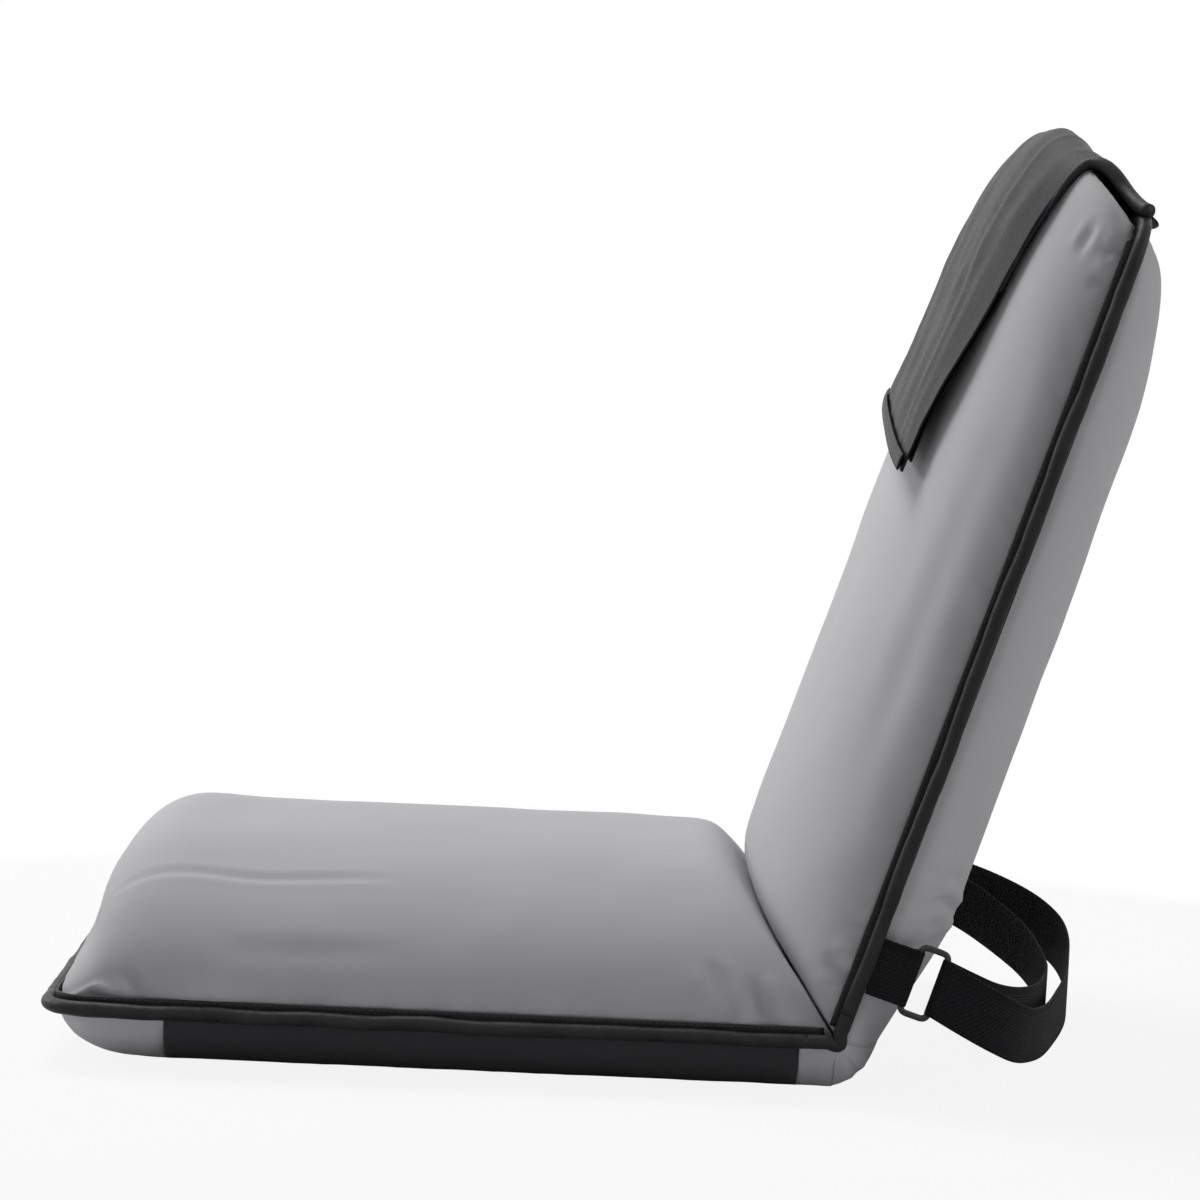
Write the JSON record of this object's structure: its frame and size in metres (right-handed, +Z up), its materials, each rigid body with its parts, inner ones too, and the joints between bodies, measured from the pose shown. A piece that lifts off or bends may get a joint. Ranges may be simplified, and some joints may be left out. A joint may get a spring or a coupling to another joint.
{
  "type": "folding floor chair",
  "caption": "Padded legless floor chair that folds at a ratchet hinge, with a black head flap over its backrest and a webbing carry strap behind.",
  "frame": {"origin": "centre of the flat black underside panel, on the floor", "axes": "+Z up, -Y towards the front of the seat, +Y towards the backrest, +X to the right of someone who looks from the seat's front at the backrest"},
  "size_m": [0.53, 0.7506, 0.6759],
  "materials": {
    "plush": "short-pile grey plush",
    "foam": "cream open-cell foam",
    "panel_cloth": "black woven cloth with a grippy back",
    "piping": "black cloth over cord",
    "flap_cloth": "smooth black coated cloth",
    "webbing": "coarse black webbing",
    "ring_plastic": "black moulded plastic",
    "tube_steel": "dark powder coat",
    "hinge_steel": "pressed zinc-plated steel",
    "pin_steel": "bright steel"
  },
  "bodies": {
    "seat": {"seat_top_cover": "plush", "seat_foam": "foam", "seat_support_cloth": "panel_cloth", "seat_frame_tube": "tube_steel", "seat_cross_bars": "tube_steel", "seat_base_pad": "foam", "seat_front_strip": "plush", "antislip_panel": "panel_cloth", "seat_hinge_strip": "plush", "seat_piping": "piping", "seat_seam_tape": "piping", "hinge_gusset": "plush", "hinge_plates_left": "hinge_steel", "hinge_plates_right": "hinge_steel", "pivot_rivet_left": "pin_steel", "pivot_rivet_right": "pin_steel", "pawl_pin_left": "pin_steel", "pawl_pin_right": "pin_steel", "pawl_spring_left": "pin_steel", "pawl_spring_right": "pin_steel", "seat_tube_rivets": "pin_steel"},
    "backrest": {"back_front_cover": "plush", "back_foam": "foam", "back_support_cloth": "panel_cloth", "back_frame_tube": "tube_steel", "back_cross_bars": "tube_steel", "back_rear_pad": "foam", "back_rear_cover": "plush", "back_piping": "piping", "back_seam_tape": "piping", "sector_left": "hinge_steel", "sector_right": "hinge_steel", "back_tube_rivets": "pin_steel", "flap_seam_strip": "flap_cloth", "strap_stub_left": "webbing", "strap_stub_right": "webbing"},
    "pawl_left": {"pawl_left": "pin_steel"},
    "pawl_right": {"pawl_right": "pin_steel"},
    "flap": {"head_flap": "flap_cloth", "flap_hem": "flap_cloth"},
    "strap": {"strap_ring_left": "ring_plastic", "strap_ring_right": "ring_plastic", "carry_strap": "webbing", "carry_strap_return": "webbing"}
  },
  "joints": [
    {"name": "recline", "type": "hinge", "parent": "seat", "child": "backrest", "pos_m": [0, 0.24, 0.041], "axis": [-1, 0, 0], "range_deg": [-72.4, 72.4], "deforming": ["seat_top_cover", "seat_foam", "back_front_cover", "back_foam", "hinge_gusset"]},
    {"name": "pawl_left", "type": "hinge", "parent": "seat", "child": "pawl_left", "pos_m": [-0.215, 0.21605, 0.0274], "axis": [1, 0, 0], "range_deg": [0, 7], "stiffness_Nm_per_rad": 0.02},
    {"name": "pawl_right", "type": "hinge", "parent": "seat", "child": "pawl_right", "pos_m": [0.215, 0.21605, 0.0274], "axis": [1, 0, 0], "range_deg": [0, 7], "stiffness_Nm_per_rad": 0.02},
    {"name": "flap_lift", "type": "hinge", "parent": "backrest", "child": "flap", "pos_m": [0, 0.42112, 0.61196], "axis": [-1, 0, 0], "range_deg": [0, 100], "deforming": ["head_flap"]},
    {"name": "strap_swing", "type": "hinge", "parent": "backrest", "child": "strap", "pos_m": [0, 0.28709, 0.08691], "axis": [1, 0, 0], "range_deg": [0, 25], "deforming": ["strap_stub_left", "strap_stub_right"]}
  ],
  "couplings": [
    {"joint": "pawl_right", "follows": "pawl_left", "ratio": 1}
  ]
}
